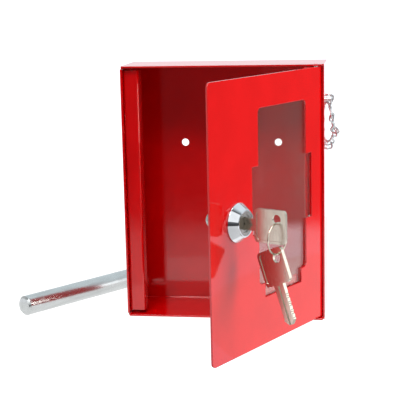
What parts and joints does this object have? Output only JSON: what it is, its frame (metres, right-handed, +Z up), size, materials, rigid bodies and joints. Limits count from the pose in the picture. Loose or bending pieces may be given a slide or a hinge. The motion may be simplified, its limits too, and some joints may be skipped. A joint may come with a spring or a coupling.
{
  "type": "emergency key box",
  "caption": "Wall-mounted folded-steel key box with a glazed locking door, key and spare on a ring, and a striker rod on a chain.",
  "frame": {"origin": "middle of the case's bottom face", "axes": "+X right, +Y back towards the wall, +Z up"},
  "size_m": [0.194, 0.208, 0.15],
  "materials": {
    "red_enamel": "gloss powder coat",
    "zinc": "bright zinc plate",
    "chrome": "polished chrome",
    "plug_nickel": "satin nickel",
    "key_nickel": "satin nickel on brass",
    "brass": "bright",
    "glass": "clear float glass"
  },
  "bodies": {
    "case": {"case_shell": "red_enamel", "lock_strip": "red_enamel", "chain_anchor": "zinc", "chain": "zinc", "striker_rod": "zinc", "rod_eye": "zinc"},
    "door": {"door_panel": "red_enamel", "upper_hinge_pin": "zinc", "lower_hinge_pin": "zinc", "glass_pane": "glass", "lock_bezel": "chrome", "lock_housing": "chrome", "lock_washer": "zinc", "lock_nut": "zinc"},
    "plug": {"lock_plug": "plug_nickel", "wafer_tumblers": "brass", "tumbler_springs": "zinc", "stop_washer": "zinc", "cam": "zinc", "cam_washer": "zinc", "cam_nut": "zinc"},
    "key": {"lock_key": "key_nickel"},
    "ring": {"key_ring": "key_nickel"},
    "spare": {"spare_key": "key_nickel"}
  },
  "joints": [
    {"name": "door_hinge", "type": "hinge", "parent": "case", "child": "door", "pos_m": [0.0543, -0.0184, 0.075], "axis": [0, 0, 1], "range_deg": [-63.7, 50]},
    {"name": "lock_turn", "type": "hinge", "parent": "door", "child": "plug", "pos_m": [0.01808, -0.09643, 0.0739], "axis": [-0.8965, 0.4431, 0], "range_deg": [0, 90]},
    {"name": "key_pull", "type": "slide", "parent": "plug", "child": "key", "axis": [0.8965, -0.4431, 0], "range_m": [0, 0.026]},
    {"name": "ring_swing", "type": "hinge", "parent": "key", "child": "ring", "pos_m": [0.03941, -0.10697, 0.076], "axis": [-0.515, -0.8572, 0], "range_deg": [-15, 75]},
    {"name": "spare_swing", "type": "hinge", "parent": "ring", "child": "spare", "pos_m": [0.03941, -0.10697, 0.0598], "axis": [-0.6018, -0.7986, 0], "range_deg": [-10, 50]}
  ]
}
